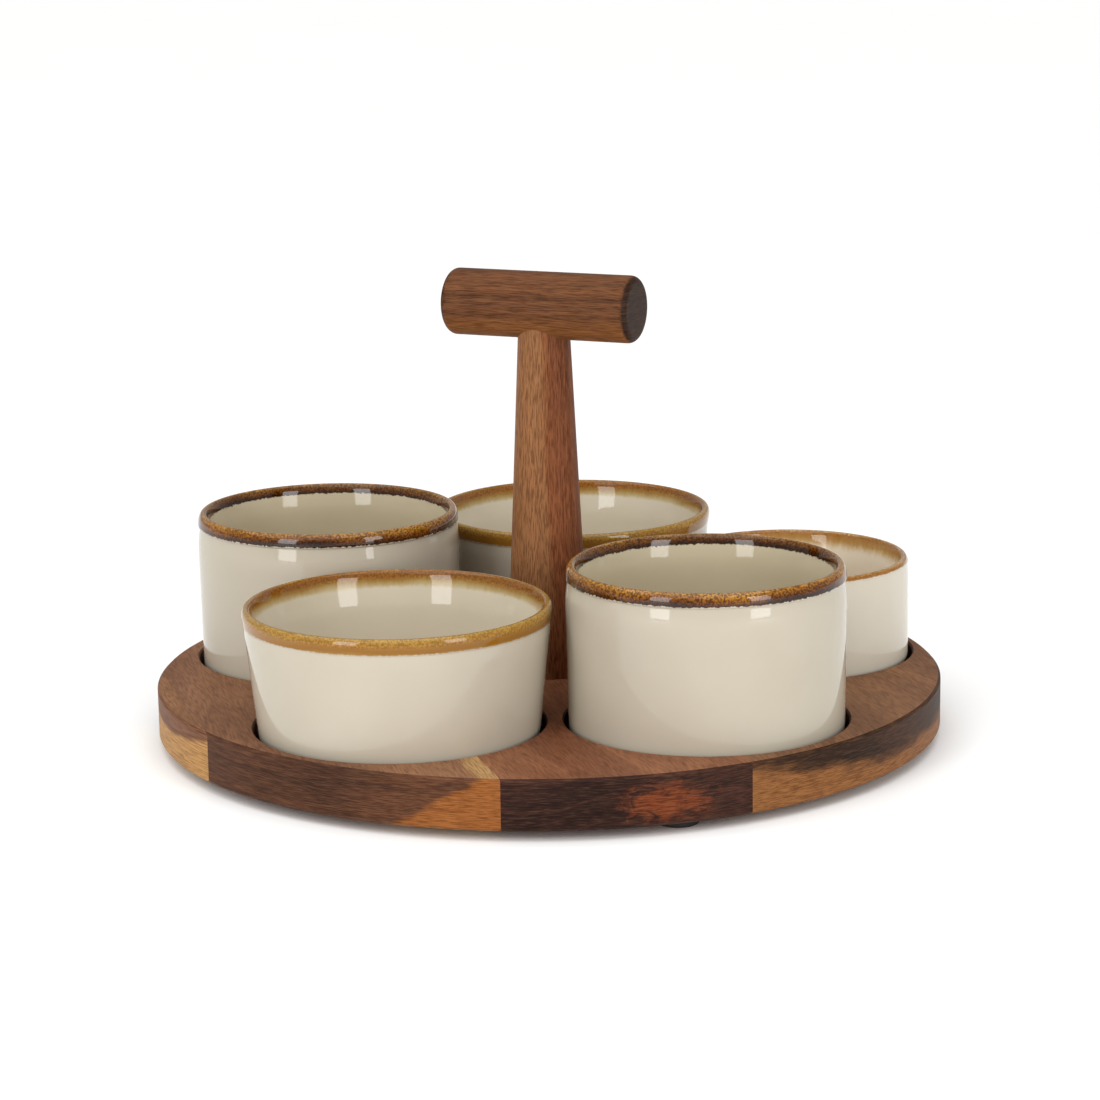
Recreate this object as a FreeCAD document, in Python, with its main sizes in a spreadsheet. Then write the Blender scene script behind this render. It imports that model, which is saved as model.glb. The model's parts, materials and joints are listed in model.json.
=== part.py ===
"""Chip and dip server: a round wooden board with five loose glazed bowls and a turned T-handle.

The origin is on the surface that the feet stand on, under the centre of the board. +Z is up, +X points at the
small bowl, and the board's glue lines run along Y. Lengths are in millimetres and angles in degrees.
"""

import FreeCAD, Part
import os
import Sketcher

# --------------------------------------------------------------------------- driving dimensions

DIMENSIONS = (
    # board
    ("board_thickness", 20),
    ("board_margin", 3.7),          # least wood between a recess and the board's edge
    ("board_chamfer", 1),
    ("edge_stave_width", 8.1),      # sliver of wood at the -X edge
    ("second_stave_width", 90.2),
    ("third_stave_width", 94.7),    # the fourth stave takes the rest
    # recesses for the bowls
    ("recess_depth", 10),
    ("recess_gap", 1.8),            # radial play round a bowl
    ("recess_chamfer", 0.6),
    ("recess_web", 3.5),            # least wood between two recesses
    ("rim_gap", 2.2),               # least gap between the rims of two neighbours
    ("bowl_spacing", 75),           # angle between two neighbouring large bowls
    ("small_bowl_offset", 6.5),     # how much further out the small bowl stands
    # bowls: seat_radius is the wall's outside at the board's top, and heights are from the foot ring
    ("straight_rim_radius", 54.7),
    ("straight_seat_radius", 53.8),
    ("straight_bowl_height", 71.6),
    ("straight_base_rounding", 4),
    ("straight_hollow_rounding", 12),
    ("tapered_rim_radius", 60.4),
    ("tapered_seat_radius", 55.1),
    ("tapered_bowl_height", 57.9),
    ("tapered_base_rounding", 4),
    ("tapered_hollow_rounding", 12),
    ("small_rim_radius", 50),
    ("small_seat_radius", 50),
    ("small_bowl_height", 50.6),
    ("small_base_rounding", 16),
    ("small_hollow_rounding", 18),
    ("bowl_wall", 3.8),
    ("bowl_floor", 4.5),
    ("foot_ring_inset", 18),        # from the wall's outside to the foot ring's outside
    ("foot_ring_width", 4),
    ("foot_ring_height", 1.5),
    # handle
    ("post_base_radius", 17),
    ("post_top_radius", 10),        # at the height of the bar's axis
    ("bar_axis_height", 151),     # above the board's top
    ("bar_radius", 13.5),
    ("bar_length", 81),
    ("bar_end_rounding", 3.2),
    ("bar_angle", -40),             # direction of the bar from +X
    ("dowel_radius", 5),
    ("dowel_in_post", 19),
    ("dowel_in_bar", 14),
    ("dowel_chamfer", 0.8),
    ("glue_gap", 0.05),             # radial play of glued and screwed-in pieces
    ("glue_pocket", 1),             # spare depth past the end of a glued or screwed-in piece
    # handle screw, M6
    ("screw_radius", 3),
    ("screw_length", 25),
    ("screw_head_radius", 5.25),
    ("screw_head_height", 3.3),
    ("screw_head_rounding", 1.6),
    ("screw_socket_radius", 2.3),   # across the corners of the hexagon, halved
    ("screw_socket_depth", 2),
    ("screw_clearance", 0.5),
    ("washer_radius", 6.25),
    ("washer_thickness", 1.6),
    ("washer_play", 0.2),
    ("counterbore_radius", 8),
    ("counterbore_depth", 6),
    ("insert_radius", 4.2),
    ("insert_length", 13),
    # rubber feet
    ("foot_radius", 8),
    ("foot_height", 4),
    ("foot_rounding", 0.9),
    ("foot_inset", 15),             # from the board's edge to a foot's centre
    ("first_foot_angle", 3),
    ("foot_well_radius", 3.6),
    ("foot_web", 1.8),              # rubber left above the well, under the screw's head
    ("foot_screw_radius", 1.5),
    ("foot_screw_play", 0.25),
    ("foot_screw_bite", 6.5),       # how far the screw goes into the board
    ("foot_screw_head_radius", 2.9),
    ("foot_screw_head_height", 1.7),
    ("foot_screw_slot_width", 0.8),
    ("foot_screw_slot_length", 3.6),
    ("foot_screw_slot_depth", 0.9),
)

doc = FreeCAD.newDocument("chip_and_dip_server")
dims = doc.addObject("Spreadsheet::Sheet", "dims")
for row, (alias, value) in enumerate(DIMENSIONS, start=1):
    dims.set(f"A{row}", alias)
    dims.set(f"B{row}", str(value))
    dims.setAlias(f"B{row}", alias)
doc.recompute()


# --------------------------------------------------------------------------- helpers

def dim(alias):
    """The expression that reads one cell of the sheet."""
    return f"dims.{alias}"


def value_of(expression):
    """The number that an expression gives now."""
    result = dims.evalExpression(expression)
    return getattr(result, "Value", result)


def bind(item, **expressions):
    """Ties properties of an object to expressions."""
    for name, expression in expressions.items():
        item.setExpression(name, expression)


def place(item, x="0", y="0", z="0", turn=None):
    """Ties an object's place, and its turn about Z, to expressions."""
    item.setExpression(".Placement.Base.x", x)
    item.setExpression(".Placement.Base.y", y)
    item.setExpression(".Placement.Base.z", z)
    if turn is not None:
        item.Placement.Rotation = FreeCAD.Rotation(FreeCAD.Vector(0, 0, 1), value_of(turn))
        item.setExpression(".Placement.Rotation.Angle", f"({turn}) * 1 deg")


def polar(radius, angle):
    """The x and y expressions of a point at a radius and an angle about the origin."""
    return (f"({radius}) * cos(({angle}) * 1 deg)", f"({radius}) * sin(({angle}) * 1 deg)")


def new_body(name):
    body = doc.addObject("PartDesign::Body", name)
    body.Label = name
    return body


def new_sketch(body, name, plane_role):
    """A sketch on one of its own body's origin planes."""
    sketch = body.newObject("Sketcher::SketchObject", name)
    plane = next(item for item in body.Origin.OriginFeatures if item.Role == plane_role)
    sketch.AttachmentSupport = [(plane, "")]
    sketch.MapMode = "FlatFace"
    return sketch


def pin_vertex(sketch, line, number, x, y):
    """Ties the start of a line to a place in the sketch."""
    for letter, kind, expression, axis in (("x", "DistanceX", x, -2), ("y", "DistanceY", y, -1)):
        if expression == "0":
            sketch.addConstraint(Sketcher.Constraint("PointOnObject", line, 1, axis))
            continue
        constraint = Sketcher.Constraint(kind, -1, 1, line, 1, value_of(expression))
        index = sketch.addConstraint(constraint)
        sketch.renameConstraint(index, f"{letter}{number}")
        sketch.setExpression(f"Constraints.{letter}{number}", expression)


def draw_outline(sketch, points):
    """A closed outline of straight lines through points given as expressions."""
    corners = [FreeCAD.Vector(value_of(x), value_of(y), 0) for x, y in points]
    lines = []
    for start, end in zip(corners, corners[1:] + corners[:1]):
        lines.append(sketch.addGeometry(Part.LineSegment(start, end)))
    for line, following in zip(lines, lines[1:] + lines[:1]):
        sketch.addConstraint(Sketcher.Constraint("Coincident", line, 2, following, 1))
    for number, (line, (x, y)) in enumerate(zip(lines, points)):
        pin_vertex(sketch, line, number, x, y)


def ring_edges(shape, radius, height=None):
    """Names of the round edges of one radius, at one height if it is given."""
    names = []
    for number, edge in enumerate(shape.Edges, start=1):
        curve = edge.Curve
        if not isinstance(curve, Part.Circle) or abs(curve.Radius - radius) > 1e-4:
            continue
        if height is None or abs(curve.Center.z - height) < 1e-4:
            names.append(f"Edge{number}")
    return names


def finish_rings(body, kind, size, rings):
    """Rounds or chamfers round edges, given as pairs of radius and height."""
    doc.recompute()
    last = body.Tip
    names = []
    for radius, height in rings:
        height_now = None if height is None else value_of(height)
        names += ring_edges(last.Shape, value_of(radius), height_now)
    if not names:
        raise RuntimeError(f"{body.Label}: no edge for its {kind}")
    feature = body.newObject(f"PartDesign::{kind}", f"{body.Name}_{kind.lower()}")
    feature.Base = (last, names)
    feature.setExpression("Radius" if kind == "Fillet" else "Size", size)
    doc.recompute()


def round_rings(body, size, rings):
    finish_rings(body, "Fillet", size, rings)


def chamfer_rings(body, size, rings):
    finish_rings(body, "Chamfer", size, rings)


def turned(name, outline, roundings=()):
    """A body turned about its own Z axis: the outline's points are radius and height."""
    body = new_body(name)
    sketch = new_sketch(body, f"{name}_outline", "XZ_Plane")
    draw_outline(sketch, outline)
    revolution = body.newObject("PartDesign::Revolution", f"{name}_turning")
    revolution.Profile = sketch
    revolution.ReferenceAxis = (sketch, ["V_Axis"])
    revolution.Angle = 360
    sketch.Visibility = False
    for size, rings in roundings:
        round_rings(body, size, rings)
    return body


def rod(name, plane_role, radius, length):
    """A round rod or disc, drawn on an origin plane of its body and padded along the plane's normal."""
    body = new_body(name)
    sketch = new_sketch(body, f"{name}_circle", plane_role)
    circle = Part.Circle(FreeCAD.Vector(0, 0, 0), FreeCAD.Vector(0, 0, 1), value_of(radius))
    sketch.addGeometry(circle)
    sketch.addConstraint(Sketcher.Constraint("Coincident", 0, 3, -1, 1))
    index = sketch.addConstraint(Sketcher.Constraint("Radius", 0, value_of(radius)))
    sketch.renameConstraint(index, "radius")
    sketch.setExpression("Constraints.radius", radius)
    pad = body.newObject("PartDesign::Pad", f"{name}_pad")
    pad.Profile = sketch
    bind(pad, Length=length)
    return body


def bore(body, name, radius, bottom, height, x="0", y="0"):
    """Takes an upright cylinder out of a body and makes sure that it cut."""
    doc.recompute()
    volume_before = body.Shape.Volume
    cylinder = body.newObject("PartDesign::SubtractiveCylinder", name)
    bind(cylinder, Radius=radius, Height=height)
    place(cylinder, x, y, bottom)
    doc.recompute()
    if body.Shape.Volume > volume_before - 1e-3:
        raise RuntimeError(f"{name} took nothing out of {body.Label}")


def cut(label, blank, tools):
    """A piece left when the tools are taken out of a blank."""
    if len(tools) == 1:
        tool = tools[0]
    else:
        tool = doc.addObject("Part::MultiFuse", f"{label}_tools")
        tool.Shapes = tools
    piece = doc.addObject("Part::Cut", f"{label}_cut")
    piece.Base = blank
    piece.Tool = tool
    piece.Label = label
    return piece


def cylinder(name, radius, height, x="0", y="0", z="0"):
    item = doc.addObject("Part::Cylinder", name)
    bind(item, Radius=radius, Height=height)
    place(item, x, y, z)
    return item


# --------------------------------------------------------------------------- layout, worked out from the sheet

def recess_radius(kind):
    return f"(dims.{kind}_seat_radius + dims.recess_gap)"


def between(first, second):
    """Least distance between the axes of two neighbours: their rims clear, and wood is left between recesses."""
    rims = f"dims.{first}_rim_radius + dims.{second}_rim_radius + dims.rim_gap"
    recesses = f"{recess_radius(first)} + {recess_radius(second)} + dims.recess_web"
    return f"max({rims}; {recesses})"


# The four large bowls stand on one ring. Two rules set how wide it is: neighbours among them clear each other,
# and so do the small bowl, which stands further out by its offset, and the large bowls beside it.
SMALL_SPACING = "(180 - 1.5 * dims.bowl_spacing)"
RING_FOR_LARGE = f"{between('straight', 'tapered')} / (2 * sin(dims.bowl_spacing / 2 * 1 deg))"


def ring_for_small(neighbour):
    """Ring radius at which the small bowl clears a large neighbour, from the triangle of their axes."""
    offset = dim("small_bowl_offset")
    chord = f"(2 * sin({SMALL_SPACING} / 2 * 1 deg))"
    span = f"({between('small', neighbour)}^2 - {offset}^2) / {chord}^2"
    return f"(sqrt({offset}^2 / 4 + {span}) - {offset} / 2)"


RING = f"max({RING_FOR_LARGE}; {ring_for_small('straight')}; {ring_for_small('tapered')})"
SMALL_RING = f"({RING} + dims.small_bowl_offset)"
BOARD_RADIUS = (f"(max({RING} + {recess_radius('straight')}; {RING} + {recess_radius('tapered')}; "
                f"{SMALL_RING} + {recess_radius('small')}) + dims.board_margin)")

BOARD_BOTTOM = dim("foot_height")
BOARD_TOP = "(dims.foot_height + dims.board_thickness)"
RECESS_FLOOR = f"({BOARD_TOP} - dims.recess_depth)"
BAR_HEIGHT = f"({BOARD_TOP} + dims.bar_axis_height)"

# node, kind of bowl, its ring and its angle
BOWLS = (
    ("small_bowl", "small", SMALL_RING, "0"),
    ("tapered_bowl_back", "tapered", RING, SMALL_SPACING),
    ("straight_bowl_back", "straight", RING, f"({SMALL_SPACING} + dims.bowl_spacing)"),
    ("tapered_bowl_front", "tapered", RING, f"({SMALL_SPACING} + 2 * dims.bowl_spacing)"),
    ("straight_bowl_front", "straight", RING, f"({SMALL_SPACING} + 3 * dims.bowl_spacing)"),
)

FOOT_RING = f"({BOARD_RADIUS} - dims.foot_inset)"
FEET = tuple((number, f"(dims.first_foot_angle + {90 * (number - 1)})") for number in (1, 2, 3, 4))


# --------------------------------------------------------------------------- board

def make_panel():
    """The whole board, turned and bored, before it is taken apart along its glue lines."""
    panel = rod("board_panel", "XY_Plane", BOARD_RADIUS, dim("board_thickness"))
    place(panel, z=BOARD_BOTTOM)
    chamfer_rings(panel, dim("board_chamfer"), [(BOARD_RADIUS, None)])
    for node, kind, ring, angle in BOWLS:
        x, y = polar(ring, angle)
        floor = "(dims.board_thickness - dims.recess_depth)"
        bore(panel, f"{node}_recess", recess_radius(kind), floor, dim("board_thickness"), x, y)
    mouths = [(recess_radius(kind), dim("board_thickness")) for kind in ("straight", "tapered", "small")]
    chamfer_rings(panel, dim("recess_chamfer"), mouths)
    bore(panel, "screw_counterbore", dim("counterbore_radius"), "0", dim("counterbore_depth"))
    bore(panel, "screw_hole", "dims.screw_radius + dims.screw_clearance", "0", dim("board_thickness"))
    for number, angle in FEET:
        x, y = polar(FOOT_RING, angle)
        bore(panel, f"foot_pilot_{number}", "dims.foot_screw_radius + dims.glue_gap", "0",
             "dims.foot_screw_bite + dims.glue_pocket", x, y)
    return panel


def make_staves(panel):
    """Four staves: a sliver at the -X edge, two of about the same width, and a wide one."""
    seams = [f"(-{BOARD_RADIUS})"]
    for width in ("edge_stave_width", "second_stave_width", "third_stave_width"):
        seams.append(f"({seams[-1]} + dims.{width})")
    seams.append(BOARD_RADIUS)
    staves = []
    for number, (low, high) in enumerate(zip(seams, seams[1:]), start=1):
        strip = doc.addObject("Part::Box", f"stave_strip_{number}")
        bind(strip, Length=f"{high} - {low}", Width=f"2 * {BOARD_RADIUS}", Height=dim("board_thickness"))
        place(strip, low, f"-{BOARD_RADIUS}", BOARD_BOTTOM)
        stave = doc.addObject("Part::Common", f"stave_{number}")
        stave.Base = panel
        stave.Tool = strip
        stave.Label = f"board_stave_{number}"
        staves.append(stave)
    return staves


# --------------------------------------------------------------------------- bowls

def make_bowl(node, kind, ring, angle):
    """A thrown bowl: a foot ring, a wall that leans out evenly, a round lip and a round hollow."""
    rim = dim(f"{kind}_rim_radius")
    seat = dim(f"{kind}_seat_radius")
    height = dim(f"{kind}_bowl_height")
    lean = f"(({rim} - {seat}) / ({height} - dims.recess_depth))"
    base = f"({seat} - {lean} * (dims.recess_depth - dims.foot_ring_height))"
    floor_top = "(dims.foot_ring_height + dims.bowl_floor)"
    hollow = f"({seat} - {lean} * (dims.recess_depth - {floor_top}) - dims.bowl_wall)"
    ring_outside = f"({base} - dims.foot_ring_inset)"
    ring_inside = f"({ring_outside} - dims.foot_ring_width)"
    # a rounding has no more room than the face it ends on, and a leaning wall takes more of it
    base_room = f"(0.95 * dims.foot_ring_inset * tan(45 deg + atan({lean}) / 2))"
    lip_rounding = f"(dims.bowl_wall * 0.48 * cos(atan({lean})))"
    outline = (
        (ring_inside, "0"),
        (ring_outside, "0"),
        (ring_outside, dim("foot_ring_height")),
        (base, dim("foot_ring_height")),
        (rim, height),
        (f"({rim} - dims.bowl_wall)", height),
        (hollow, floor_top),
        ("0", floor_top),
        ("0", dim("foot_ring_height")),
        (ring_inside, dim("foot_ring_height")),
    )
    roundings = (
        (f"min(dims.{kind}_base_rounding; {base_room})", [(base, dim("foot_ring_height"))]),
        (dim(f"{kind}_hollow_rounding"), [(hollow, floor_top)]),
        (lip_rounding, [(rim, height), (f"({rim} - dims.bowl_wall)", height)]),
        ("dims.foot_ring_width * 0.2", [(ring_inside, "0"), (ring_outside, "0")]),
    )
    bowl = turned(node, outline, roundings)
    x, y = polar(ring, angle)
    place(bowl, x, y, RECESS_FLOOR)
    return bowl


# --------------------------------------------------------------------------- handle

def make_handle():
    """A tapered post, coped to fit under a round bar, a dowel that joins them, and a screw from below."""
    bar_blank = rod("bar_blank", "YZ_Plane", dim("bar_radius"), dim("bar_length"))
    x, y = polar("-dims.bar_length / 2", dim("bar_angle"))
    place(bar_blank, x, y, BAR_HEIGHT, turn=dim("bar_angle"))
    round_rings(bar_blank, dim("bar_end_rounding"), [(dim("bar_radius"), None)])

    cone = doc.addObject("Part::Cone", "post_blank")
    bind(cone, Radius1=dim("post_base_radius"), Radius2=dim("post_top_radius"), Height=dim("bar_axis_height"))
    place(cone, z=BOARD_TOP)

    joint = f"({BAR_HEIGHT} - dims.bar_radius)"
    dowel_length = "(dims.dowel_in_post + dims.dowel_in_bar)"
    dowel_bottom = f"({joint} - dims.dowel_in_post)"
    dowel_hole = cylinder("dowel_hole", "dims.dowel_radius + dims.glue_gap",
                          f"{dowel_length} + 2 * dims.glue_pocket", z=f"{dowel_bottom} - dims.glue_pocket")
    insert_hole = cylinder("insert_hole", "dims.insert_radius + dims.glue_gap",
                           "dims.insert_length + dims.glue_pocket", z=BOARD_TOP)

    flat_end = "(dims.dowel_radius - dims.dowel_chamfer)"
    dowel = turned("handle_dowel", (
        ("0", "0"),
        (flat_end, "0"),
        (dim("dowel_radius"), dim("dowel_chamfer")),
        (dim("dowel_radius"), f"{dowel_length} - dims.dowel_chamfer"),
        (flat_end, dowel_length),
        ("0", dowel_length),
    ))
    place(dowel, z=dowel_bottom)

    return [cut("handle_post", cone, [bar_blank, dowel_hole, insert_hole]),
            cut("handle_bar", bar_blank, [dowel_hole]), dowel]


def make_handle_fixings():
    """Threaded insert in the post, and the washer and screw in the board's counterbore."""
    insert = turned("handle_insert", (
        (dim("screw_radius"), "0"),
        (dim("insert_radius"), "0"),
        (dim("insert_radius"), dim("insert_length")),
        (dim("screw_radius"), dim("insert_length")),
    ))
    place(insert, z=BOARD_TOP)

    washer_hole = "(dims.screw_radius + dims.washer_play)"
    washer_bottom = f"({BOARD_BOTTOM} + dims.counterbore_depth - dims.washer_thickness)"
    washer = turned("handle_washer", (
        (washer_hole, "0"),
        (dim("washer_radius"), "0"),
        (dim("washer_radius"), dim("washer_thickness")),
        (washer_hole, dim("washer_thickness")),
    ))
    place(washer, z=washer_bottom)

    shank = "(dims.screw_radius - dims.glue_gap)"
    length = "(dims.screw_head_height + dims.screw_length)"
    blank = turned("handle_screw_blank", (
        ("0", "0"),
        (dim("screw_head_radius"), "0"),
        (dim("screw_head_radius"), dim("screw_head_height")),
        (shank, dim("screw_head_height")),
        (shank, length),
        ("0", length),
    ), [(dim("screw_head_rounding"), [(dim("screw_head_radius"), "0")])])
    screw_bottom = f"({washer_bottom} - dims.screw_head_height)"
    place(blank, z=screw_bottom)
    socket = doc.addObject("Part::Prism", "handle_screw_socket")
    socket.Polygon = 6
    bind(socket, Circumradius=dim("screw_socket_radius"), Height=dim("screw_socket_depth"))
    place(socket, z=screw_bottom)
    return [insert, washer, cut("handle_screw", blank, [socket])]


# --------------------------------------------------------------------------- feet

def make_foot(number, angle):
    """A rubber foot with a well for the screw's head, and the screw that holds it."""
    x, y = polar(FOOT_RING, angle)
    well = "(dims.foot_height - dims.foot_web)"
    hole = "(dims.foot_screw_radius + dims.foot_screw_play)"
    foot = turned(f"foot_{number}", (
        (dim("foot_well_radius"), "0"),
        (dim("foot_radius"), "0"),
        (dim("foot_radius"), dim("foot_height")),
        (hole, dim("foot_height")),
        (hole, well),
        (dim("foot_well_radius"), well),
    ), [(dim("foot_rounding"), [(dim("foot_radius"), "0")])])
    place(foot, x, y)

    name = f"foot_screw_{number}"
    head = dim("foot_screw_head_height")
    head_radius = dim("foot_screw_head_radius")
    shank = dim("foot_screw_radius")
    tip = f"({head} + dims.foot_web + dims.foot_screw_bite)"
    blank = turned(f"{name}_blank", (
        ("0", "0"),
        (head_radius, "0"),
        (head_radius, head),
        (shank, head),
        (shank, f"{tip} - {shank}"),
        ("0", tip),
    ), [(f"{head} / 2", [(head_radius, "0")])])
    screw_bottom = f"({well} - {head})"
    place(blank, x, y, screw_bottom)
    slots = []
    for way, length, width in (("along", dim("foot_screw_slot_length"), dim("foot_screw_slot_width")),
                               ("across", dim("foot_screw_slot_width"), dim("foot_screw_slot_length"))):
        slot = doc.addObject("Part::Box", f"{name}_slot_{way}")
        bind(slot, Length=length, Width=width, Height=dim("foot_screw_slot_depth"))
        place(slot, f"{x} - {length} / 2", f"{y} - {width} / 2", screw_bottom)
        slots.append(slot)
    return [foot, cut(name, blank, slots)]


# --------------------------------------------------------------------------- assembly

def check_document():
    """Stops the build if any object of the document failed."""
    for item in doc.Objects:
        if "Invalid" in item.State or "Error" in item.State:
            raise RuntimeError(f"{item.Label} failed: {item.State}")


def check_piece(piece):
    """Stops the build if a piece isn't one valid solid."""
    shape = piece.Shape
    if shape.isNull() or not shape.isValid() or len(shape.Solids) != 1:
        raise RuntimeError(f"{piece.Label} isn't one valid solid")


pieces = make_staves(make_panel())
for bowl in BOWLS:
    pieces.append(make_bowl(*bowl))
pieces += make_handle()
pieces += make_handle_fixings()
for foot in FEET:
    pieces += make_foot(*foot)

doc.recompute()
check_document()
for piece in pieces:
    check_piece(piece)

os.makedirs("parts", exist_ok=True)
for piece in pieces:
    piece.Shape.exportStep(f"parts/{piece.Label}.step")
    box = piece.Shape.BoundBox
    print(f"{piece.Label}: volume {piece.Shape.Volume:.1f}, "
          f"z {box.ZMin:.2f} to {box.ZMax:.2f}, x {box.XMin:.2f} to {box.XMax:.2f}")
print(f"{len(pieces)} pieces, ring {value_of(RING):.3f}, board radius {value_of(BOARD_RADIUS):.3f}")
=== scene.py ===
# %% [markdown]
# # A chip and dip server: five glazed bowls on an acacia board
#
# The server is a round board glued up from staves, with five recesses. A loose stoneware bowl stands in
# each, and a turned T-handle rises in the middle. The CAD model already holds every piece at its true size,
# so this lesson starts from it: the board, the handle, the feet and the fixings keep their shapes and get
# finishes, and the bowls are turned again as finer meshes.

# %% Load the frame
import json
import math

import bpy
from mathutils import Matrix, Vector


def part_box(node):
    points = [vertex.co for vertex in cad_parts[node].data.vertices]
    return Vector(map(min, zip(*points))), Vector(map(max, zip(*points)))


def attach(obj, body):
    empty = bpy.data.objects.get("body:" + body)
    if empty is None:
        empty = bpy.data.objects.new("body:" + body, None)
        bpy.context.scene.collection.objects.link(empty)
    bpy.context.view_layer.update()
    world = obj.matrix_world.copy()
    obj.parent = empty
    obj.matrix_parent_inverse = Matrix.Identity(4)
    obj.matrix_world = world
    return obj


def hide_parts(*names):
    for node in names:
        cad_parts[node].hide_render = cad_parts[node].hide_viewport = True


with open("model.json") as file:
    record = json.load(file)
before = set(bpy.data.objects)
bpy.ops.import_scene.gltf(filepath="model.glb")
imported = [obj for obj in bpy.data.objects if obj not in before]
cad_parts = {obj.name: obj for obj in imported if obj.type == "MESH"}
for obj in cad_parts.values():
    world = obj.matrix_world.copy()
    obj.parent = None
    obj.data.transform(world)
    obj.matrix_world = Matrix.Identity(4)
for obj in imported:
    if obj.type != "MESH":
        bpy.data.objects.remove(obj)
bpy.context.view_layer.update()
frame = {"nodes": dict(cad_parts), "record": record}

MM = 0.001

# %% [markdown]
# ## Places that everything else is measured from
#
# Positions come from the frame and not from typed numbers: the board's top, the seams between its staves,
# the height at which the bowls sit, and each bowl's centre, rim radius and height all follow from the boxes
# of the CAD nodes. A size that changes in CAD is then followed here.

# %% Measure the frame
STAVES = [f"board_stave_{number}" for number in range(1, 5)]
BOWLS = {
    "straight_bowl_front": "straight",
    "straight_bowl_back": "straight",
    "tapered_bowl_front": "tapered",
    "tapered_bowl_back": "tapered",
    "small_bowl": "small",
}

BOARD_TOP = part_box("board_stave_3")[1].z
BOARD_RADIUS = -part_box("board_stave_1")[0].x
SEAMS = [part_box(node)[1].x for node in STAVES[:-1]]
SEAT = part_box("small_bowl")[0].z


def middle(node):
    """The middle of a node's box."""
    low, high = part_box(node)
    return (low + high) / 2


print("board radius", round(BOARD_RADIUS, 4), "top", round(BOARD_TOP, 4), "seat", round(SEAT, 4))
print("seams", [round(x, 4) for x in SEAMS])

# %% [markdown]
# ## Arithmetic for shaders
#
# A material is a graph of nodes. The nodes could be made and linked one by one, but then the formula is
# lost among the links. One small class wraps an output socket instead and overloads Python's operators, so
# that `1 - mask` adds a Subtract node. Every other node comes from its `node` method: the settings are set
# first, because they can change which sockets a node has, and then the sockets are fed.

# %% Wire: a socket with arithmetic


class Wire:
    """An output socket of a material's graph."""

    def __init__(self, socket):
        self.socket = socket

    def node(self, kind, inputs=None, output=0, stops=None, **settings):
        """Adds a node to this wire's graph, sets it up, feeds its sockets and returns one output."""
        tree = self.socket.id_data
        made = tree.nodes.new(kind)
        for name, setting in settings.items():
            setattr(made, name, setting)
        if stops:
            fill_ramp(made.color_ramp, stops)
        for name, feed in (inputs or {}).items():
            if isinstance(feed, Wire):
                tree.links.new(feed.socket, made.inputs[name])
            else:
                made.inputs[name].default_value = feed
        return Wire(made.outputs[output])

    def math(self, operation, first, second):
        """One Math node."""
        return self.node("ShaderNodeMath", {0: first, 1: second}, operation=operation)

    def __add__(self, other):
        return self.math("ADD", self, other)

    def __radd__(self, other):
        return self.math("ADD", other, self)

    def __sub__(self, other):
        return self.math("SUBTRACT", self, other)

    def __rsub__(self, other):
        return self.math("SUBTRACT", other, self)

    def __mul__(self, other):
        return self.math("MULTIPLY", self, other)

    def __rmul__(self, other):
        return self.math("MULTIPLY", other, self)

    def __truediv__(self, other):
        return self.math("DIVIDE", self, other)

    def __rtruediv__(self, other):
        return self.math("DIVIDE", other, self)


def fill_ramp(ramp, stops):
    """Gives a colour ramp its stops, as pairs of position and colour."""
    while len(ramp.elements) < len(stops):
        ramp.elements.new(1.0)
    for element, (position, colour) in zip(ramp.elements, stops):
        element.position = position
        element.color = colour


# %% [markdown]
# ## The steps of a finish
#
# Glaze, wood, rubber and metal are all noise that has been drawn out, cut off and coloured. Each of these
# steps has a short name here, so that a finish reads like a recipe. A colour is written as six hexadecimal
# digits, as a paint chart gives it, and is made linear for the shader.

# %% Colours and masks


def pigment(code):
    """A colour from its six hexadecimal digits, made linear as the shader needs."""
    channels = [int(code[start:start + 2], 16) / 255 for start in (0, 2, 4)]
    linear = [c / 12.92 if c <= 0.04045 else ((c + 0.055) / 1.055) ** 2.4 for c in channels]
    return (*linear, 1.0)


def mix(factor, first, second, blend="MIX"):
    """A mix of two colours."""
    return factor.node("ShaderNodeMix", {0: factor, 6: first, 7: second}, output=2,
                       data_type="RGBA", blend_type=blend, clamp_factor=True)


def rise(value, low, high):
    """0 at low, 1 at high, and a smooth rise between them."""
    return value.node("ShaderNodeMapRange", {"Value": value, "From Min": low, "From Max": high},
                      interpolation_type="SMOOTHSTEP")


def part(vector, axis):
    """One part of a vector: "X", "Y" or "Z"."""
    return vector.node("ShaderNodeSeparateXYZ", {0: vector}, output=axis)


# %% Noise and relief


def stretch(place, x, y, z):
    """Coordinates multiplied along each axis, so that a pattern is drawn out where the factor is small."""
    return place.node("ShaderNodeVectorMath", {0: place, 1: (x, y, z)}, operation="MULTIPLY")


def noise(place, scale=1.0, detail=2.0, roughness=0.5, distortion=0.0):
    """Cloudy noise from 0 to 1, mostly near 0.5."""
    return place.node("ShaderNodeTexNoise", {"Vector": place, "Scale": scale, "Detail": detail,
                                             "Roughness": roughness, "Distortion": distortion})


def wander(pattern, reach):
    """A noise made into a wander of up to reach either way."""
    return (pattern - 0.5) * (2 * reach)


def bump(height, strength, distance):
    """A normal that leans with a height, given in units of the distance."""
    return height.node("ShaderNodeBump", {"Height": height, "Strength": strength, "Distance": distance})


def new_finish(name, **constants):
    """A material: returns it, its Object coordinates and a function that feeds the shader."""
    material = bpy.data.materials.new(name)
    material.use_nodes = True
    tree = material.node_tree
    shader = tree.nodes["Principled BSDF"]
    for socket, constant in constants.items():
        shader.inputs[socket.replace("_", " ")].default_value = constant
    coordinates = tree.nodes.new("ShaderNodeTexCoord")

    def feed(socket, wire):
        tree.links.new(wire.socket, shader.inputs[socket])

    return material, Wire(coordinates.outputs["Object"]), feed


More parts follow.
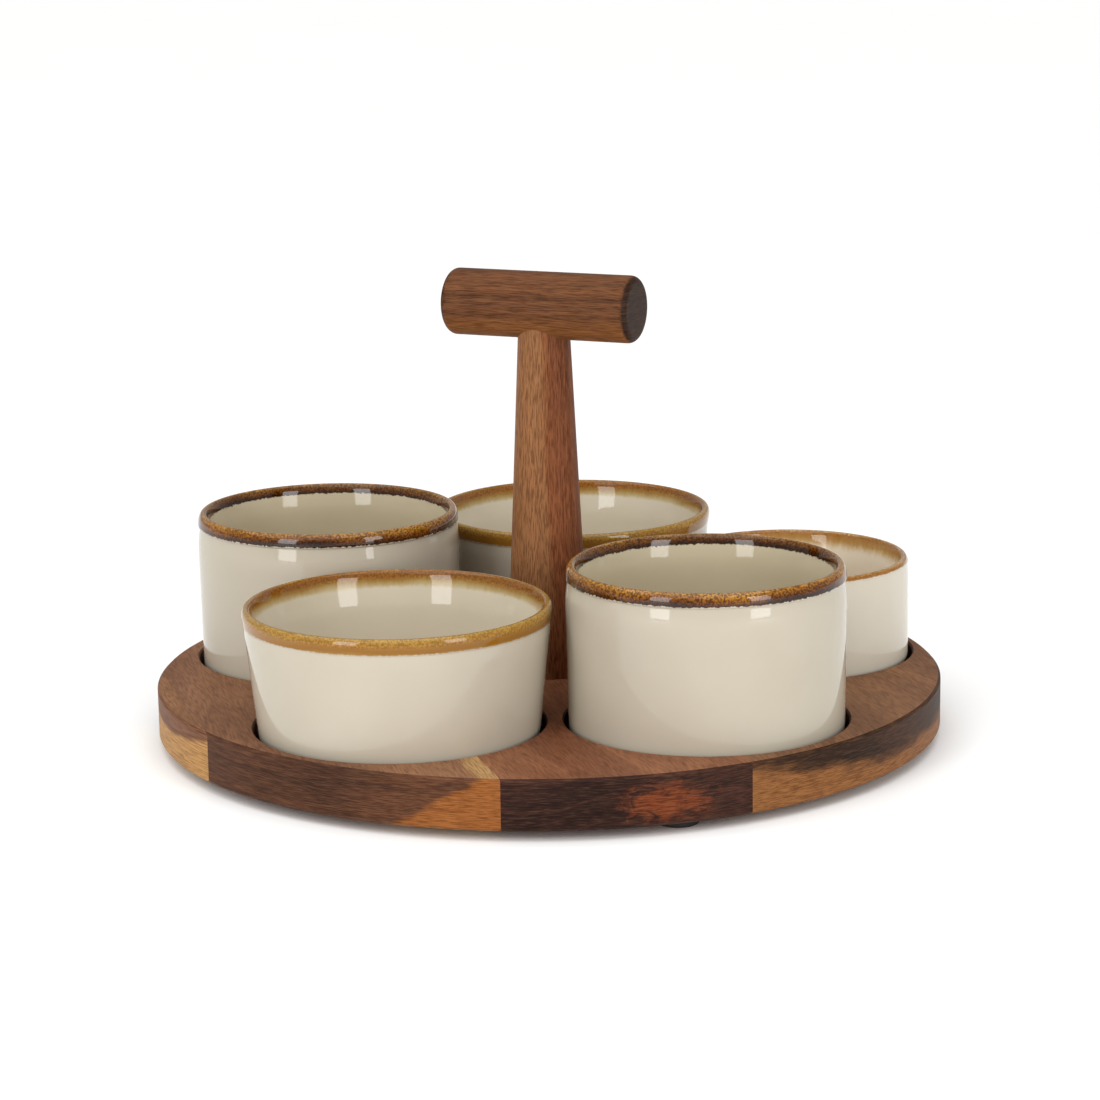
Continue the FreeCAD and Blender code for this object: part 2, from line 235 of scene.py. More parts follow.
# %% [markdown]
# ## The glaze
#
# The bowls have a glossy cream glaze that breaks to amber where it runs thin over the lip. The bands could
# be painted by height, but inside and outside stand at the same height and have different colours. How far
# a point is from the lip, measured along the surface, tells them apart, so the lathe below stores that
# distance on the mesh as `from_lip`: positive outside and negative inside. Noise moves the edges of the
# bands, a second noise, drawn out along Z, makes the streaks where the glaze has run, and the amber carries
# dark veins and honey specks. The foot, below the glaze line, is raw clay.

# %% Glaze material
RAW_CLAY = pigment("b09678")
DARK_VEIN = pigment("5e534a")
HONEY = pigment("e6e7d0")
CLOUDY = pigment("c3b79a")
BAND_REACH = 20 * MM
SPECK_FADE = 1.2
CLAY_UP_TO = 1.4 * MM
GLAZE_FROM = 2.0 * MM
CLAY_ROUGHNESS = 0.7
GLAZE_ROUGHNESS = 0.03
CLOUDINESS = 0.08


def ramp_along(distance, stops):
    """A colour for each distance from the lip: the stops are pairs of millimetres and colour code."""
    place = [(millimetres * MM / BAND_REACH, pigment(code)) for millimetres, code in stops]
    return distance.node("ShaderNodeValToRGB", {"Fac": distance / BAND_REACH}, stops=place)


def glaze(name, outside, inside, ragged, runs, uneven, specks, speck_end):
    """A glazed bowl's material. ragged, runs and uneven say how far noise moves the bands, in millimetres."""
    material, place, feed = new_finish(name, IOR=1.5, Specular_IOR_Level=0.38)
    lip = place.node("ShaderNodeAttribute", output="Fac", attribute_name="from_lip")
    grain = noise(place, scale=850, roughness=0.6)
    streaks = noise(stretch(place, 500, 500, 30), detail=3.0, roughness=0.6)
    teeth = wander(grain, ragged * MM)
    drift = wander(noise(place, scale=38), uneven * MM)
    run = wander(streaks, runs * MM)
    veins = mix(rise(noise(place, scale=1250, roughness=0.6), 0.41, 0.60), DARK_VEIN, HONEY)

    def band(distance, stops, end, soft, cream):
        """Amber with dark veins and honey specks up to the band's end, and cream beyond it."""
        amber = ramp_along(distance + drift, stops)
        speckled = rise(distance, speck_end * MM, (speck_end - SPECK_FADE) * MM) * specks
        amber = mix(speckled, amber, veins, blend="OVERLAY")
        return mix(rise(distance, (end - soft) * MM, (end + soft) * MM), amber, pigment(cream))

    outside_colour = band(lip + teeth, *outside)
    inside_colour = band(teeth + run - lip, *inside)
    colour = mix(rise(lip, 0.3 * MM, -0.3 * MM), outside_colour, inside_colour)
    clouds = rise(noise(place, scale=35, detail=3.0), 0.3, 0.7) * CLOUDINESS
    colour = mix(clouds, colour, CLOUDY, blend="MULTIPLY")
    clay = rise(part(place, "Z"), SEAT + GLAZE_FROM, SEAT + CLAY_UP_TO)

    feed("Base Color", mix(clay, colour, RAW_CLAY))
    feed("Roughness", clay * CLAY_ROUGHNESS + (noise(place, scale=200) * 0.03 + GLAZE_ROUGHNESS))
    ripple = noise(place, scale=140) + clay * grain
    feed("Normal", bump(ripple, strength=0.03, distance=0.4 * MM))
    return material


# %% [markdown]
# ## Three glazes
#
# The two straight bowls, the two tapered ones and the small one were dipped by hand, so their bands differ
# in width and colour. Each side of a wall is given as the colours from the lip down, with how many
# millimetres each lies from it, then where the band ends, how softly, and the cream that follows.

# %% The straight, the tapered and the small bowls' glaze
GLAZES = {
    "straight": dict(
        # The lighter amber in the top 1.4 mm of the straight bowls' outer band is partly the glaze's own
        # colour and partly a painted highlight.
        outside=([(0, "946a3a"), (1.4, "93672a"), (2.8, "7c4c16"), (4.4, "59300c"), (5.4, "341908"),
                  (7.0, "2a1408")], 6.2, 0.2, "b6ad9c"),
        inside=([(0, "946a3a"), (0.8, "704a1a"), (2.0, "683f12"), (3.2, "4c2a0c"), (4.1, "301707"),
                 (8.0, "2a1408")], 4.8, 0.25, "bdb196"),
        ragged=0.9, runs=0.3, uneven=2.8, specks=0.75, speck_end=6.6),
    "tapered": dict(
        outside=([(0, "9a763e"), (0.8, "9c7a38"), (3.0, "966c2a"), (5.2, "8c5e1c"), (6.2, "8a5c18"),
                  (7.5, "946e2c")], 7.0, 0.4, "b9b09f"),
        inside=([(0, "9a763e"), (0.8, "84561c"), (3.2, "804e18"), (5.0, "947034"), (6.2, "a88f5e"),
                 (8.0, "bcae8a")], 7.6, 0.9, "c8beaa"),
        ragged=0.5, runs=0.5, uneven=1.8, specks=0.35, speck_end=4.8),
    "small": dict(
        outside=([(0, "a88a60"), (0.8, "9c7038"), (1.7, "8e5c28"), (3.0, "96703c")], 2.5, 0.3, "cbc3b3"),
        inside=([(0, "a88a60"), (1.0, "905e26"), (3.0, "9c7238"), (6.0, "b4925a"), (10.0, "c6ae84")],
                6.8, 2.4, "d8ccb8"),
        ragged=0.5, runs=1.8, uneven=1.6, specks=0.35, speck_end=2.6),
}
glaze_of = {kind: glaze(f"{kind}_glaze", **bands) for kind, bands in GLAZES.items()}
print("glazes:", ", ".join(glaze_of))

# %% [markdown]
# ## The lathe
#
# A bowl is a shape that follows a rule: one outline, turned about an axis. A Screw modifier or bmesh's spin
# could turn it too. A Geometry Nodes tree is used, because every bowl can share it and its steps stay
# readable. The outline is a mesh of edges in the XZ plane. The tree stands it up, sweeps it along a circle,
# and merges the points on the axis, which closes the poles.

# %% Geometry Nodes lathe
TURNING_RADIUS = 0.1
WELD_DISTANCE = 0.002 * MM


def add_input(tree, name, kind):
    """A named input of a tree."""
    tree.interface.new_socket(name, in_out="INPUT", socket_type=kind)


def chain(tree, *nodes):
    """Links each node's first output to the next one's first input."""
    for node, following in zip(nodes, nodes[1:]):
        tree.links.new(node.outputs[0], following.inputs[0])


def build_lathe():
    """The tree that turns an outline about Z."""
    tree = bpy.data.node_groups.new("lathe", "GeometryNodeTree")
    add_input(tree, "Outline", "NodeSocketGeometry")
    add_input(tree, "Steps Round", "NodeSocketInt")
    add_input(tree, "Centre", "NodeSocketVector")
    add_input(tree, "Finish", "NodeSocketMaterial")
    tree.interface.new_socket("Turned", in_out="OUTPUT", socket_type="NodeSocketGeometry")
    entry = tree.nodes.new("NodeGroupInput")
    stand = tree.nodes.new("GeometryNodeTransform")
    stand.inputs["Rotation"].default_value = (math.pi / 2, 0, 0)
    stand.inputs["Translation"].default_value = (-TURNING_RADIUS, 0, 0)
    outline = tree.nodes.new("GeometryNodeMeshToCurve")
    circle = tree.nodes.new("GeometryNodeCurvePrimitiveCircle")
    circle.inputs["Radius"].default_value = TURNING_RADIUS
    sweep = tree.nodes.new("GeometryNodeCurveToMesh")
    weld = tree.nodes.new("GeometryNodeMergeByDistance")
    weld.inputs["Distance"].default_value = WELD_DISTANCE
    move = tree.nodes.new("GeometryNodeTransform")
    smooth = tree.nodes.new("GeometryNodeSetShadeSmooth")
    realize = tree.nodes.new("GeometryNodeRealizeInstances")
    paint = tree.nodes.new("GeometryNodeSetMaterial")
    leave = tree.nodes.new("NodeGroupOutput")
    chain(tree, entry, stand, outline)
    tree.links.new(entry.outputs["Steps Round"], circle.inputs["Resolution"])
    tree.links.new(circle.outputs[0], sweep.inputs["Curve"])
    tree.links.new(outline.outputs[0], sweep.inputs["Profile Curve"])
    chain(tree, sweep, weld, move, smooth, realize, paint, leave)
    tree.links.new(entry.outputs["Centre"], move.inputs["Translation"])
    tree.links.new(entry.outputs["Finish"], paint.inputs["Material"])
    return tree


lathe = build_lathe()
print("lathe tree:", len(lathe.nodes), "nodes")

# %% [markdown]
# ## From a tree to a plain mesh
#
# The lathe could stay on the bowls as a live modifier, but the parts library wants plain meshes. So the
# tree works on a helper object, its result is copied as a mesh of its own, and the helper is thrown away.

# %% Run the lathe


def run_tree(tree, name, mesh, **inputs):
    """Runs a tree on a mesh and keeps the result as a plain mesh object of that name."""
    worker = bpy.data.objects.new(f"{name}_worker", mesh)
    bpy.context.scene.collection.objects.link(worker)
    modifier = worker.modifiers.new("tree", "NODES")
    modifier.node_group = tree
    for item in tree.interface.items_tree:
        key = item.name.replace(" ", "_").lower()
        if item.in_out == "INPUT" and key in inputs:
            modifier[item.identifier] = inputs[key]
    graph = bpy.context.evaluated_depsgraph_get()
    result = bpy.data.meshes.new_from_object(worker.evaluated_get(graph), depsgraph=graph)
    bpy.data.objects.remove(worker)
    result.name = name
    piece = bpy.data.objects.new(name, result)
    bpy.context.scene.collection.objects.link(piece)
    return piece


# %% [markdown]
# ## Outlines with soft corners
#
# Every corner of the outline is a point and a rounding. A Bevel modifier could round the turned bowl, but
# the edges round each corner would need weights of their own. Here an arc takes each corner's place before
# the turning, and the straight runs are cut into short steps, so that smooth shading bends only at the
# roundings. The distance from the lip is added up along the outline afterwards.

# %% Outline helpers
ARC_STEP = math.radians(7)
LONGEST_STEP = 2.0 * MM
NEARLY_STRAIGHT = math.radians(89.5)
USABLE_RUN = 0.49


def arc_points(before, corner, after, rounding):
    """The points of an arc that rounds a corner, or the corner itself where it is sharp."""
    towards, away = (before - corner).normalized(), (after - corner).normalized()
    half = towards.angle(away) / 2
    if rounding <= 0 or half > NEARLY_STRAIGHT:
        return [corner]
    room = USABLE_RUN * min((before - corner).length, (after - corner).length)
    reach = min(rounding / math.tan(half), room)
    radius = reach * math.tan(half)
    centre = corner + (towards + away).normalized() * (radius / math.sin(half))
    start, end = corner + towards * reach - centre, corner + away * reach - centre
    steps = max(2, math.ceil((math.pi - 2 * half) / ARC_STEP))
    turn = start.angle_signed(end)
    return [centre + Matrix.Rotation(-turn * step / steps, 2) @ start for step in range(steps + 1)]


def soft_outline(corners):
    """The points of an outline, from its corners, each a radius, a height and a rounding in millimetres."""
    spots = [Vector((radius, height)) * MM for radius, height, _ in corners]
    points = [spots[0]]
    for index in range(1, len(corners) - 1):
        points += arc_points(spots[index - 1], spots[index], spots[index + 1], corners[index][2] * MM)
    points.append(spots[-1])
    stepped = [points[0]]
    for point in points[1:]:
        run = point - stepped[-1]
        count = max(1, math.ceil(run.length / LONGEST_STEP))
        start = stepped[-1]
        stepped += [start + run * (step / count) for step in range(1, count + 1)]
    return stepped


def outline_mesh(name, points):
    """The outline as a mesh of edges, with the distance from its highest point stored on it."""
    mesh = bpy.data.meshes.new(name)
    mesh.from_pydata([(p.x, 0, p.y) for p in points], [(i, i + 1) for i in range(len(points) - 1)], [])
    walked = [0.0]
    for start, end in zip(points, points[1:]):
        walked.append(walked[-1] + (end - start).length)
    top = max(p.y for p in points)
    crest = [distance for distance, p in zip(walked, points) if top - p.y < 0.01 * MM]
    lip = sum(crest) / len(crest)
    attribute = mesh.attributes.new("from_lip", "FLOAT", "POINT")
    attribute.data.foreach_set("value", [lip - distance for distance in walked])
    return mesh


# %% [markdown]
# ## The bowls
#
# The CAD bowls are plain: a straight wall and an even lip. The real ones are softer. Under the band of
# amber glaze the wall leans in a little, the band itself is a shallow bead, and inside the lip the wall
# opens like a throat, which is what catches a window's reflection. The wall, the bead and the throat are
# named sizes here, while rim radius, height and place are measured from the CAD node that each bowl
# replaces.

# %% The bowls' outline
BOWL_SHAPES = {
    "straight": dict(seat_radius=53.8, base_rounding=4, hollow_rounding=13, shoulder=12.5, lean=1.0,
                     band=5.8, bead=0.7, slope_in=0.65, crown=1.9, lip_width=1.9,
                     throat=((1.2, 2.6), (2.9, 10.5))),
    "tapered": dict(seat_radius=55.1, base_rounding=4, hollow_rounding=14, shoulder=11, lean=0.25,
                    band=6.6, bead=0.25, slope_in=0.1, crown=1.0, lip_width=2.2,
                    throat=((1.3, 3.0), (3.9, 14))),
    "small": dict(seat_radius=50.0, base_rounding=16, hollow_rounding=18, shoulder=9, lean=0.4,
                  band=2.4, bead=0.15, slope_in=0.4, crown=1.1, lip_width=2.0,
                  throat=((1.1, 2.6), (2.8, 11))),
}
RECESS_DEPTH = 10
FOOT_RING = dict(inset=18, width=4, height=1.5)
BOWL_FLOOR = 4.5
WALL_AT_THE_BASE = 4.6


def bowl_corners(rim, height, shape):
    """A bowl's outline, in millimetres from its seat: under it, up the outside, over the lip and down."""
    ring_height = FOOT_RING["height"]
    taper = (rim - shape["seat_radius"]) / (height - RECESS_DEPTH)
    base = shape["seat_radius"] - taper * (RECESS_DEPTH - ring_height)
    ring_outside = base - FOOT_RING["inset"]
    ring_inside = ring_outside - FOOT_RING["width"]
    floor_top = ring_height + BOWL_FLOOR
    shoulder = rim - taper * shape["shoulder"]
    band_edge = rim - taper * shape["band"] - shape["lean"]
    lip = rim - shape["crown"]
    hollow_lip = lip - shape["lip_width"]
    (upper_in, upper_down), (lower_in, lower_down) = shape["throat"]
    hollow_base = base + taper * BOWL_FLOOR - WALL_AT_THE_BASE
    return [
        (0, ring_height, 0),
        (ring_inside, ring_height, 0.5),
        (ring_inside, 0, 0.6),
        (ring_outside, 0, 0.6),
        (ring_outside, ring_height, 0.5),
        (base, ring_height, shape["base_rounding"]),
        (shoulder, height - shape["shoulder"], 40),
        (band_edge, height - shape["band"], 0.3),
        (band_edge + shape["bead"], height - shape["band"] + 0.4, 0.9),
        (rim - shape["slope_in"], height - 2.0, 6),
        (lip, height, 1.6),
        (hollow_lip, height, 1.7),
        (hollow_lip - upper_in, height - upper_down, 12),
        (hollow_lip - lower_in, height - lower_down, 30),
        (hollow_base, floor_top, shape["hollow_rounding"]),
        (0, floor_top, 0),
    ]


# %% Turn the bowls
STEPS_ROUND = 176


def turn_bowl(node, kind):
    """A bowl turned in its node's place, which rides on the body of the same name."""
    low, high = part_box(node)
    rim = (high.x - low.x) / 2 / MM
    height = (high.z - low.z) / MM
    points = soft_outline(bowl_corners(rim, height, BOWL_SHAPES[kind]))
    centre = Vector(((low.x + high.x) / 2, (low.y + high.y) / 2, low.z))
    piece = run_tree(lathe, f"{node}_glazed", outline_mesh(f"{node}_outline", points),
                     centre=centre, finish=glaze_of[kind], steps_round=STEPS_ROUND)
    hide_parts(node)
    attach(piece, node)
    return piece


for node, kind in BOWLS.items():
    bowl = turn_bowl(node, kind)
    print(f"{bowl.name}: {len(bowl.data.polygons)} faces, {len(bowl.data.vertices)} points")

# %% [markdown]
# ## Acacia
#
# Acacia is streaky: brown heartwood with darker lines, patches of pale sapwood near the bark, and short
# open pores that run with the grain. A picture of a plank could be wrapped round each stave, but its streaks
# would stop at the corners. So all of it is noise in space, drawn out along the grain by squeezing that axis
# of the coordinates. The lines are wavy layers in the depth of the wood, so they come out on the top and on
# the edge alike. End grain soaks up more oil, so the board's edge and the ends of the handle's pieces are
# darker and show short dashes instead of pores. On the board every upright face takes the darker edge
# colour, so the walls of the recesses are darker too: there the dark colour is painted shade.

# %% Acacia's figure
SWAY = (16, 2.5, 5)
PATCHES = (22, 5, 30)
PORES = (2700, 130, 2700)
DASHES = (200, 90, 3000)
LINES_PER_METRE = 330
OILED_PORE = pigment("7a5a48")
PORE_DEPTH = 0.56
# A warm screen over the lighter fibre is a painted sheen: a highlight painted into the wood's colour.
PAINTED_SHEEN = pigment("e8b080")
PAINTED_SHEEN_STRENGTH = 0.03


def lines_and_patches(local):
    """The light and dark of the wood, from 0 to 1: lines that sway with the depth, and broad patches."""
    depth = part(local, "Z") + wander(noise(stretch(local, *SWAY)), 15 * MM)
    lines = depth.node("ShaderNodeTexNoise", {"W": depth * LINES_PER_METRE, "Scale": 1.0, "Detail": 3.0,
                                              "Roughness": 0.6}, noise_dimensions="1D")
    patches = noise(stretch(local, *PATCHES), detail=3.0)
    return rise(lines * 0.45 + patches * 0.55, 0.34, 0.66)


def fibre_of(local, cut):
    """The fine fibre: pores along the grain, and dashes on the faces that cut it."""
    pores = noise(stretch(local, *PORES), roughness=0.6)
    dashes = noise(stretch(local, *DASHES), detail=3.0, roughness=0.6)
    return cut * (dashes - pores) + pores


# %% Acacia material


def acacia(name, face, edge, pale=None, turn=(0, 0, 0), shift=(0, 0, 0), board=True, sapwood=None,
           flame=None):
    """Acacia, its grain along Y once turned. face and edge are dark and light codes, pale is one for each."""
    material, place, feed = new_finish(name, IOR=1.46, Specular_IOR_Level=0.12)
    local = place.node("ShaderNodeMapping", {"Vector": place, "Location": shift, "Rotation": turn},
                       vector_type="TEXTURE")
    facing = place.node("ShaderNodeTexCoord", output="Normal")
    facing = facing.node("ShaderNodeMapping", {"Vector": facing, "Rotation": turn}, vector_type="TEXTURE")
    along, up = part(facing, "Y"), part(facing, "Z")
    # On the board every upright face takes the edge colour: darker end grain on the outer edge, painted shade
    # on the walls of the recesses.
    cut = rise(up * up, 0.78, 0.45) if board else rise(along * along, 0.05, 0.45)
    tone = lines_and_patches(local)
    fibre = fibre_of(local, cut)

    face_colour = mix(tone, pigment(face[0]), pigment(face[1]))
    edge_colour = mix(tone, pigment(edge[0]), pigment(edge[1]))
    if flame:
        edge_colour = mix(flame(place), edge_colour, pigment("76391a"))
    if sapwood:
        ragged = noise(stretch(local, 60, 20, 260), detail=4.0, roughness=0.6)
        bright = sapwood(place, ragged)
        face_colour = mix(bright, face_colour, pigment(pale[0]))
        edge_colour = mix(bright, edge_colour, pigment(pale[1]))
    colour = mix(cut, face_colour, edge_colour)
    colour = mix(rise(fibre, 0.55, 0.38) * PORE_DEPTH, colour, OILED_PORE, blend="MULTIPLY")
    # Painted sheen: the warm screen stands in for highlights on the oiled fibre.
    colour = mix(rise(fibre, 0.50, 0.66) * PAINTED_SHEEN_STRENGTH, colour, PAINTED_SHEEN, blend="SCREEN")
    feed("Base Color", colour)
    feed("Roughness", 0.42 + fibre * 0.2)
    feed("Normal", bump(fibre, strength=0.30, distance=0.15 * MM))
    return material


# %% [markdown]
# ## Sapwood and flame
#
# A stave cut near the bark has a pale margin: beside its seam on one stave, low in the edge on two others.
# The third stave has a reddish flame on its edge. These could be painted by hand on an image, but a mask
# worked out from the place needs none, and it keeps to the seam wherever the seam is. Each function below
# returns a mask, which `acacia` mixes in.

# %% Masks for the board


def beside_seam(seam, reach, climb, soft):
    """Sapwood beside a seam: reach metres wide at the board's top and wider towards its bottom."""

    def mask(place, ragged):
        edge = part(place, "X") - seam + reach + (BOARD_TOP - part(place, "Z")) * climb
        return rise(edge + wander(ragged, 2 * soft), -soft, soft)

    return mask


def low_in_the_edge(start, end, depth, slope, soft):
    """Sapwood low in the edge: depth metres under the top at x = start, sloping until x = end."""

    def mask(place, ragged):
        x = part(place, "X")
        run = x.node("ShaderNodeClamp", {0: x, 1: min(start, end), 2: max(start, end)}) - start
        edge = (BOARD_TOP - depth) - run * slope - part(place, "Z")
        return rise(edge + wander(ragged, 2 * soft), -soft, soft)

    return mask


def flame_at(centre, reach):
    """A reddish figure in the wood round a centre, with a reach along each axis."""

    def mask(place):
        turbulence = noise(stretch(place, 120, 60, 220), detail=5.0, roughness=0.65, distortion=1.5)
        shifted = place.node("ShaderNodeVectorMath", {0: place, 1: centre}, operation="SUBTRACT")
        scaled = shifted.node("ShaderNodeVectorMath", {0: shifted, 1: reach}, operation="DIVIDE")
        distance = scaled.node("ShaderNodeVectorMath", {0: scaled}, output="Value", operation="LENGTH")
        return rise(distance + wander(turbulence, 1.1), 1.1, 0.3) * 0.85

    return mask


# %% The board's staves
STAVE_WOOD = [
    dict(face=("6f4a33", "946946"), edge=("5e3c2a", "7a5036"), pale=("b98e58", "b0844e"),
         shift=(0.3, 0, 0.01),
         sapwood=low_in_the_edge(start=-152 * MM, end=-160 * MM, depth=3.6 * MM, slope=-0.57,
                                 soft=1.2 * MM)),
    dict(face=("724b34", "94694a"), edge=("40271a", "5f3b26"), pale=("b08a5a", "8c5426"),
         shift=(0.1, 0.4, 0.02),
         sapwood=beside_seam(SEAMS[1], reach=6.5 * MM, climb=1.5, soft=3 * MM)),
    dict(face=("744831", "936243"), edge=("27140f", "41251b"), shift=(-0.2, 0.1, 0.1),
         flame=flame_at(centre=(-1 * MM, -160 * MM, BOARD_TOP - 11 * MM),
                        reach=(18 * MM, 30 * MM, 8.5 * MM))),
    dict(face=("6e4a33", "8c6242"), edge=("2a1a0f", "442a1a"), pale=("94683f", "875830"),
         shift=(0.5, 0.7, 0.05),
         sapwood=low_in_the_edge(start=87 * MM, end=33 * MM, depth=12 * MM, slope=0.17, soft=3 * MM)),
]

for number, (node, wood) in enumerate(zip(STAVES, STAVE_WOOD), start=1):
    frame["nodes"][node].material_slots[0].material = acacia(f"acacia_{number}", **wood)
print("acacia on", len(STAVES), "staves")

# %% [markdown]
# ## The handle
#
# The post and the bar are turned from the same acacia, with the grain along each: up the post, and along
# the bar, which stands at an angle to the staves. Turning the coordinates of the one material does that, so
# no second wood is needed. The post has a tan side, and the bar is lighter underneath.

# %% The handle's wood
BAR_ANGLE = math.radians(-40)


def left_of_the_post(place, ragged):
    """The tan side of the post."""
    return rise(wander(ragged, 6 * MM) - part(place, "X") - 4 * MM, -3 * MM, 3 * MM) * 0.6


def low_in_the_bar(place, ragged):
    """The lighter underside of the bar."""
    below = wander(ragged, 5 * MM) + middle("handle_bar").z - part(place, "Z")
    return rise(below, 1 * MM, 9 * MM)


handle_wood = {
    "handle_post": acacia("acacia_post", face=("6c3c22", "935836"), edge=("4c2f22", "6a4430"), board=False,
                          turn=(math.pi / 2, 0, math.pi / 2), shift=(0.02, 0.3, 0.05),
                          pale=("9c7048", "6a4430"), sapwood=left_of_the_post),
    "handle_bar": acacia("acacia_bar", face=("482a17", "6e4427"), edge=("261810", "362218"), board=False,
                         turn=(0, 0, BAR_ANGLE - math.pi / 2), shift=(0.01, 0.2, 0.1),
                         pale=("845430", "362218"), sapwood=low_in_the_bar),
}
for node, wood in handle_wood.items():
    frame["nodes"][node].material_slots[0].material = wood
print("acacia on", ", ".join(handle_wood))

# %% [markdown]
# ## Rubber, steel, brass and beech
#
# The small pieces keep their CAD shapes. Rubber is nearly black with a dusty bloom, zinc-plated steel has
# fine turning marks, and the insert and the dowel are hidden in the post but are finished all the same. Flat
# colours would do at this size, but they look like plastic as soon as someone takes the server apart.

# %% Small finishes


def rubber():
    """Black rubber with a dusty bloom."""
    material, place, feed = new_finish("foot_rubber_black", IOR=1.5)
    bloom = noise(place, scale=260, detail=4.0)
    feed("Base Color", mix(rise(bloom, 0.45, 0.75), pigment("171717"), pigment("2b2a29")))
    feed("Roughness", 0.55 + bloom * 0.25)
    feed("Normal", bump(noise(place, scale=1800), strength=0.2, distance=0.05 * MM))
    return material


def turned_metal(name, bright, dull):
    """Metal with the fine rings that a lathe leaves."""
    material, place, feed = new_finish(name, Metallic=1.0)
    marks = noise(stretch(place, 300, 300, 4000))
    feed("Base Color", mix(rise(marks, 0.35, 0.65), pigment(dull), pigment(bright)))
    feed("Roughness", 0.25 + marks * 0.2)
    feed("Normal", bump(marks, strength=0.15, distance=0.03 * MM))
    return material


def beech():
    """Pale beech with short flecks along the dowel."""
    material, place, feed = new_finish("dowel_beech", IOR=1.46)
    flecks = noise(stretch(place, 1200, 1200, 180))
    feed("Base Color", mix(rise(flecks, 0.4, 0.7), pigment("c9a67c"), pigment("b08a5f")))
    feed("Roughness", 0.55 + flecks * 0.1)
    feed("Normal", bump(flecks, strength=0.2, distance=0.05 * MM))
    return material


finish_of_slot = {
    "foot_rubber": rubber(),
    "fixing_steel": turned_metal("zinc_steel", "c9cacc", "9fa1a4"),
    "insert_brass": turned_metal("turned_brass", "d8b566", "a8853c"),
    "dowel_wood": beech(),
}
for row in frame["record"]["subparts"]:
    if row["material_slot"] in finish_of_slot:
        frame["nodes"][row["node"]].material_slots[0].material = finish_of_slot[row["material_slot"]]
print("small finishes:", ", ".join(finish_of_slot))

# %% [markdown]
# ## The floor
#
# The server stands on a pale surface that reaches past the view. A curved backdrop would hide the horizon
# too, but with a sky as white as the floor a flat plane is enough.

# %% Floor
FLOOR_REACH = 12.0


def make_floor():
    """A pale floor, wide enough to fill the view behind the board."""
    mesh = bpy.data.meshes.new("floor")
    corners = [(-FLOOR_REACH, -FLOOR_REACH, 0), (FLOOR_REACH, -FLOOR_REACH, 0),
               (FLOOR_REACH, FLOOR_REACH, 0), (-FLOOR_REACH, FLOOR_REACH, 0)]
    mesh.from_pydata(corners, [], [(0, 1, 2, 3)])
    floor = bpy.data.objects.new("floor", mesh)
    bpy.context.scene.collection.objects.link(floor)
    material, place, feed = new_finish("pale_floor")
    feed("Base Color", mix(noise(place, scale=2.0), pigment("fdfdfc"), pigment("fbfbfa")))
    feed("Roughness", 0.75 + noise(place, scale=3.0) * 0.1)
    mesh.materials.append(material)


make_floor()
print("floor:", 2 * FLOOR_REACH, "m across")

# %% [markdown]
# ## The camera
#
# The camera looks down by about 13 degrees from a little to the left of the board's Y axis. A short lens
# close by would fit the server too, but it would stretch the near bowls, so the lens is long. The camera's
# place is an angle round the board, a distance and a height, and it faces a point above the board's middle.

# %% Camera
CAMERA_SIDE = math.radians(-106.04)
CAMERA_DISTANCE = 1.3527
CAMERA_HEIGHT = 0.3525
CAMERA_ROLL = math.radians(-0.84)
AIM = Vector((1.1, -0.3, 74.2)) * MM
LENS = 111.2
SENSOR_WIDTH = 36


def around(angle, distance, height):
    """A place at an angle round the board, at a height above its top."""
    return Vector((math.cos(angle) * distance, math.sin(angle) * distance, BOARD_TOP + height))


def look_at(item, spot, target):
    """Puts a light or a camera at a spot, facing a target."""
    facing = (target - spot).to_track_quat("-Z", "Y")
    item.matrix_world = Matrix.Translation(spot) @ facing.to_matrix().to_4x4()


camera_data = bpy.data.cameras.new("camera")
camera_data.lens = LENS
camera_data.sensor_width = SENSOR_WIDTH
camera = bpy.data.objects.new("camera", camera_data)
bpy.context.scene.collection.objects.link(camera)
look_at(camera, around(CAMERA_SIDE, CAMERA_DISTANCE, CAMERA_HEIGHT), AIM)
camera.matrix_world = camera.matrix_world @ Matrix.Rotation(CAMERA_ROLL, 4, "Z")
bpy.context.scene.camera = camera
bpy.context.scene.view_settings.view_transform = "Standard"
print("camera:", [round(x, 3) for x in camera.matrix_world.translation])

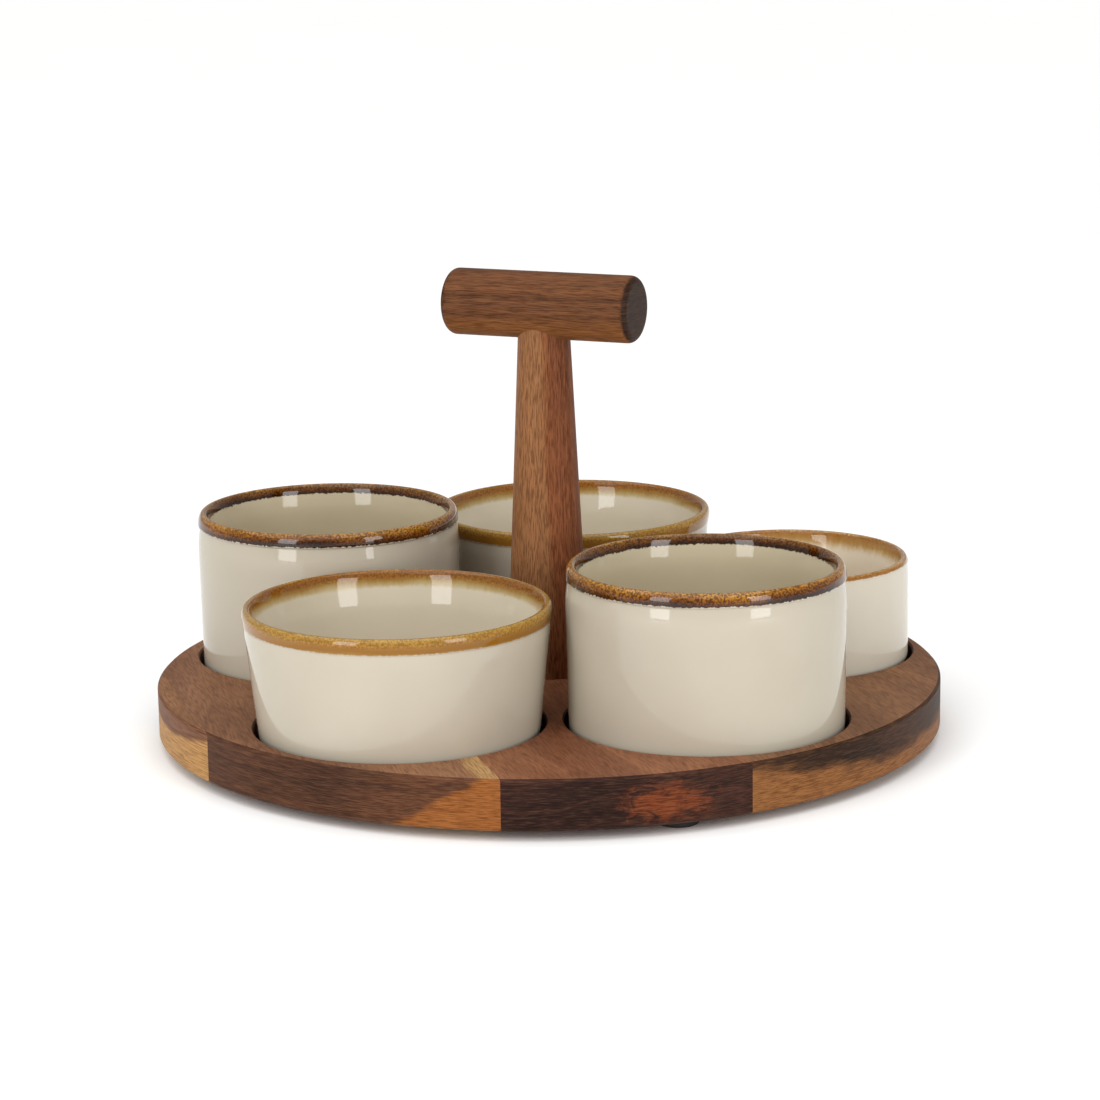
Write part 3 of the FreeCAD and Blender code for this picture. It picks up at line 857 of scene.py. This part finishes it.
# %% [markdown]
# ## The lights
#
# A white sky and a broad overhead light give the even light of a catalogue. Two tall soft lights stand to
# the left and the right of the camera, and their reflections are the bright rectangles on the glaze. The
# sky alone would light the server as evenly, but a glaze looks glossy only when it has something bright
# with an edge to reflect.

# %% Lights
SOFTBOX_SIDES = {"softbox_left": -36, "softbox_right": 41}
SOFTBOX_CLIMB = math.radians(16)
SOFTBOX_DISTANCE = 1.5
SOFTBOX_SIZE = (0.42, 0.84)
SOFTBOX_POWER = 7.0
SOFTBOX_AIM = Vector((0, 0, 0.06))
OVERHEAD_SIDE = -0.6
OVERHEAD_DISTANCE = 0.6
OVERHEAD_HEIGHT = 2.2
OVERHEAD_STRENGTH = 2.0
OVERHEAD_SPREAD = math.radians(85)
SKY_STRENGTH = 0.45


def add_light(name, kind, strength):
    """A light of a kind, still at the origin."""
    light = bpy.data.objects.new(name, bpy.data.lights.new(name, kind))
    light.data.energy = strength
    bpy.context.scene.collection.objects.link(light)
    return light


def add_softbox(name, side):
    """A tall soft light, side radians round the board from the camera."""
    light = add_light(name, "AREA", SOFTBOX_POWER)
    light.data.shape = "RECTANGLE"
    light.data.size, light.data.size_y = SOFTBOX_SIZE
    flat = SOFTBOX_DISTANCE * math.cos(SOFTBOX_CLIMB)
    height = SOFTBOX_DISTANCE * math.sin(SOFTBOX_CLIMB)
    look_at(light, around(CAMERA_SIDE + side, flat, height), SOFTBOX_AIM)


for name, side in SOFTBOX_SIDES.items():
    add_softbox(name, math.radians(side))

overhead = add_light("overhead", "SUN", OVERHEAD_STRENGTH)
overhead.data.angle = OVERHEAD_SPREAD
overhead_place = around(CAMERA_SIDE + OVERHEAD_SIDE, OVERHEAD_DISTANCE, OVERHEAD_HEIGHT)
look_at(overhead, overhead_place, Vector((0, 0, 0)))

sky = bpy.data.worlds.new("white_sky")
bpy.context.scene.world = sky
sky.use_nodes = True
background = sky.node_tree.nodes["Background"]
background.inputs["Color"].default_value = (1, 1, 1, 1)
background.inputs["Strength"].default_value = SKY_STRENGTH
print("lights:", ", ".join(SOFTBOX_SIDES), "and", overhead.name)
